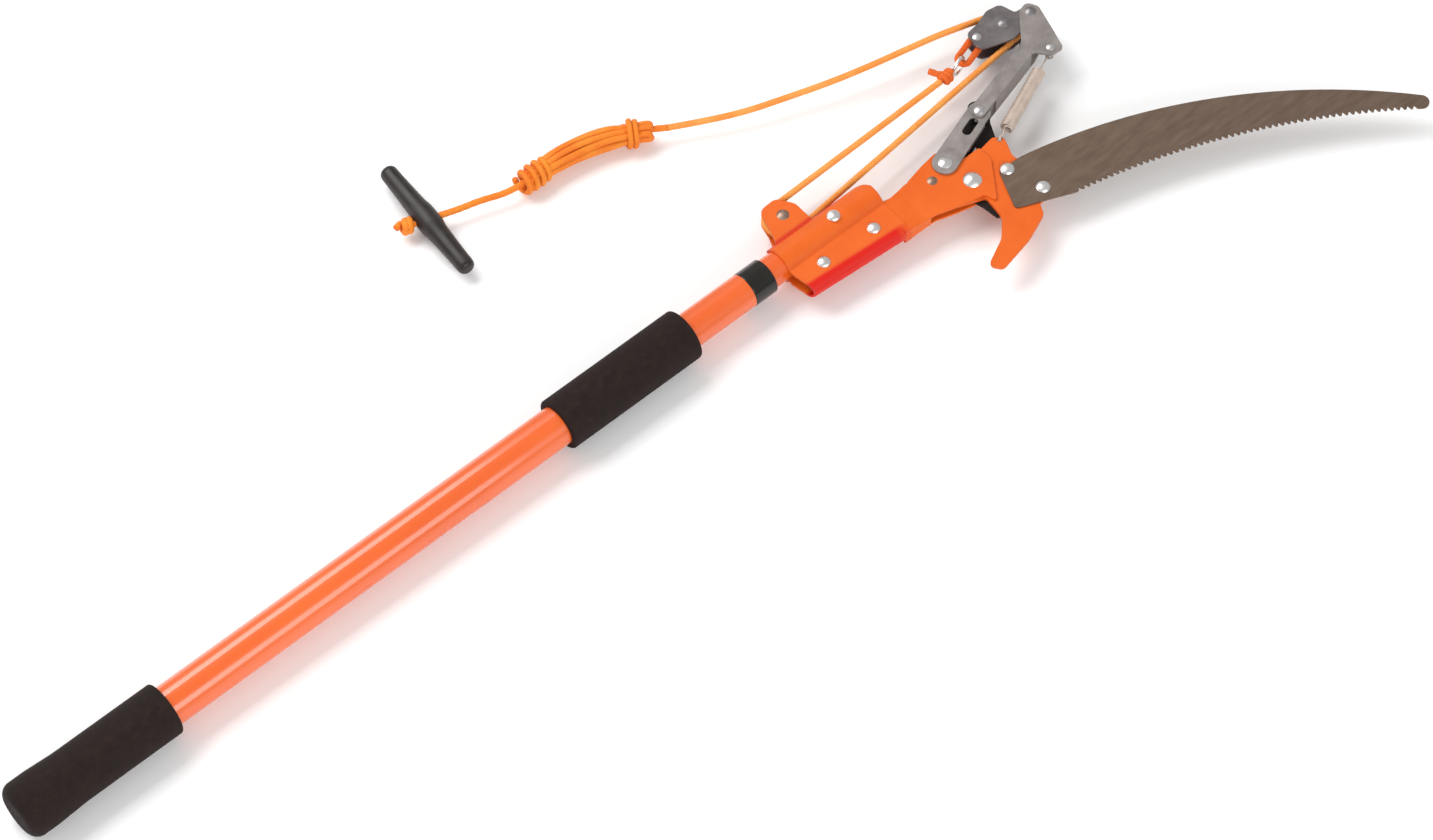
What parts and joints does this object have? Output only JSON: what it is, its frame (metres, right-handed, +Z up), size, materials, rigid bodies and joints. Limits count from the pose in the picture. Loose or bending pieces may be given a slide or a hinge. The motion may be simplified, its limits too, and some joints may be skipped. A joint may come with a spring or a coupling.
{
  "type": "telescoping pole saw",
  "caption": "Telescoping pole saw: nested tubes with foam grips, a rope-worked pruning hook and blade, and a curved saw on the head.",
  "frame": {"origin": "centre of the flat butt end of the pole, on the pole axis", "axes": "+X along the pole to the head, +Z up out of the side of the head that carries the saw and lever, so +Y is the rope side and the hook opens to -Y"},
  "size_m": [1.1872, 0.4855, 0.0446],
  "materials": {
    "tube_orange": "gloss orange paint",
    "head_orange": "satin orange powder coat",
    "foam": "matt black-brown foam",
    "black_plastic": "moulded plastic",
    "gloss_black": "gloss black plastic",
    "saw_steel": "ground grey-brown steel",
    "blade_black": "black coated steel",
    "zinc": "bright zinc plate",
    "chrome": "polished fastener heads",
    "spring_steel": "light spring steel",
    "sheave_plastic": "dark nylon",
    "rope_orange": "braided cord",
    "toggle_black": "moulded black plastic"
  },
  "bodies": {
    "outer": {"outer_tube": "tube_orange", "bottom_grip": "foam", "end_plug": "black_plastic", "mid_grip": "foam"},
    "middle": {"middle_tube": "tube_orange", "middle_guide": "black_plastic"},
    "collar": {"lock_collar": "gloss_black"},
    "head": {"inner_tube": "tube_orange", "inner_guide": "black_plastic", "bracket": "head_orange", "hook_plate": "head_orange", "saw_blade": "saw_steel", "saw_screws": "chrome", "bracket_bolts": "chrome", "bracket_nuts": "zinc", "neck_rivet": "zinc", "neck_spacer": "zinc", "pivot_bolt": "chrome", "pivot_nut": "zinc", "lower_sheave_pin": "zinc", "rope_strand_1": "rope_orange", "rope_lower_wrap": "rope_orange", "rope_strand_2": "rope_orange", "rope_lead": "rope_orange", "rope_hank": "rope_orange", "rope_tail": "rope_orange", "rope_in_toggle": "rope_orange", "toggle": "toggle_black", "stop_knot": "rope_orange"},
    "lever": {"front_link": "zinc", "back_link": "zinc", "lever_arm": "zinc", "lever_pivot_rivet": "chrome", "arm_rivet": "chrome", "drive_pin": "zinc", "spring_pin": "zinc", "block_pivot": "zinc"},
    "cutter": {"cutting_blade": "blade_black"},
    "block": {"block_front": "zinc", "block_back": "zinc", "upper_sheave_pin": "zinc", "becket_pin": "zinc", "becket_loop": "rope_orange", "becket_ring": "chrome", "end_knot": "rope_orange", "rope_upper_wrap": "rope_orange"},
    "lower_wheel": {"lower_sheave": "sheave_plastic"},
    "upper_wheel": {"upper_sheave": "sheave_plastic"},
    "spring_body": {"return_spring": "spring_steel"},
    "spring_eye": {"spring_hook": "spring_steel"}
  },
  "joints": [
    {"name": "middle_slide", "type": "slide", "parent": "outer", "child": "middle", "axis": [1, 0, 0], "range_m": [0, 0.5]},
    {"name": "collar_twist", "type": "hinge", "parent": "middle", "child": "collar", "pos_m": [0.6835, 0, 0], "axis": [1, 0, 0], "range_deg": [0, 90]},
    {"name": "inner_slide", "type": "slide", "parent": "middle", "child": "head", "axis": [1, 0, 0], "range_m": [0, 0.5]},
    {"name": "lever_pivot", "type": "hinge", "parent": "head", "child": "lever", "pos_m": [0.8625, -0.015, 0], "axis": [0, 0, 1], "range_deg": [0, 80], "stiffness_Nm_per_rad": 0.9, "springref_deg": -20.05, "deforming": ["rope_strand_1", "rope_strand_2", "rope_lead"]},
    {"name": "blade_pivot", "type": "hinge", "parent": "head", "child": "cutter", "pos_m": [0.869, -0.039, 0], "axis": [0, 0, 1], "range_deg": [0, 54.9]},
    {"name": "block_swivel", "type": "hinge", "parent": "lever", "child": "block", "pos_m": [1.0095, 0.0475, 0], "axis": [0, 0, 1], "range_deg": [-35.1, 0]},
    {"name": "lower_sheave_spin", "type": "hinge", "parent": "head", "child": "lower_wheel", "pos_m": [0.737, 0.0294, 0], "axis": [0, 0, 1], "continuous": true},
    {"name": "upper_sheave_spin", "type": "hinge", "parent": "block", "child": "upper_wheel", "pos_m": [0.987, 0.054, 0], "axis": [0, 0, 1], "continuous": true},
    {"name": "spring_swing", "type": "hinge", "parent": "head", "child": "spring_body", "pos_m": [0.911, -0.024, 0.0015], "axis": [0, 0, 1], "range_deg": [0, 87]},
    {"name": "spring_stretch", "type": "slide", "parent": "spring_body", "child": "spring_eye", "axis": [0.9232, 0.3842, 0], "range_m": [0, 0.062], "deforming": ["return_spring", "spring_hook"]}
  ],
  "couplings": [
    {"joint": "blade_pivot", "follows": "lever_pivot", "ratio": 0.686},
    {"joint": "block_swivel", "follows": "lever_pivot", "ratio": -0.4375},
    {"joint": "spring_swing", "follows": "lever_pivot", "ratio": 1.085},
    {"joint": "spring_stretch", "follows": "lever_pivot", "m_per_rad": 0.04425}
  ]
}
